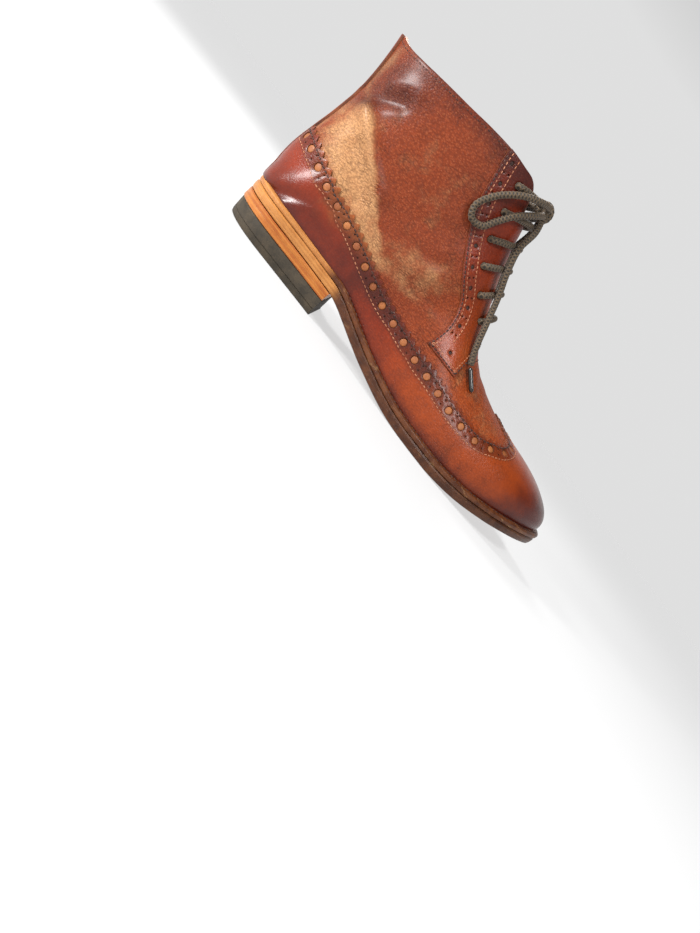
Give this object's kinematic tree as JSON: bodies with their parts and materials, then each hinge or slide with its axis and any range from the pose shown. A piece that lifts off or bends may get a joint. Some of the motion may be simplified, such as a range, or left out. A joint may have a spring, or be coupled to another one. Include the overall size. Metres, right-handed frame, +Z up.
{
  "type": "ankle boot",
  "caption": "Right lace-up ankle boot on a leather sole with a low stacked heel, with a pinked and punched long-wing overlay, open-laced facings and a tied round lace.",
  "frame": {"origin": "on the floor under the middle of the boot's box, without the bow", "axes": "+X to the toe, +Y to the inner side of the foot, +Z up"},
  "size_m": [0.3084, 0.1058, 0.157],
  "materials": {
    "upper_leather": "grained cognac leather with a wax shine",
    "overlay_leather": "burnished red-brown leather",
    "tongue_leather": "plain brown leather",
    "insole_leather": "natural leather",
    "sole_leather": "dark-edged sole leather, worn",
    "heel_leather": "natural tan sole leather",
    "heel_rubber": "matt grey-green rubber",
    "lace_cord": "waxed round cotton lace",
    "lace_tag": "dark lace tag"
  },
  "bodies": {
    "root": {"upper": "upper_leather", "tongue": "tongue_leather", "insole": "insole_leather", "welt": "sole_leather", "outsole": "sole_leather", "heel_lift": "heel_leather", "heel_top_piece": "heel_rubber", "wing_overlay": "overlay_leather", "facing_outer": "overlay_leather", "facing_inner": "overlay_leather", "back_stay": "overlay_leather", "lace_bar_1": "lace_cord", "lace_bar_2": "lace_cord", "lace_bar_3": "lace_cord", "lace_bar_4": "lace_cord", "lace_bar_5": "lace_cord", "lace_knot": "lace_cord", "lace_top_outer": "lace_cord", "lace_loop_outer": "lace_cord", "lace_end_outer": "lace_cord", "lace_tag_outer": "lace_tag", "lace_top_inner": "lace_cord", "lace_loop_inner": "lace_cord", "lace_end_inner": "lace_cord", "lace_tag_inner": "lace_tag"}
  },
  "joints": []
}
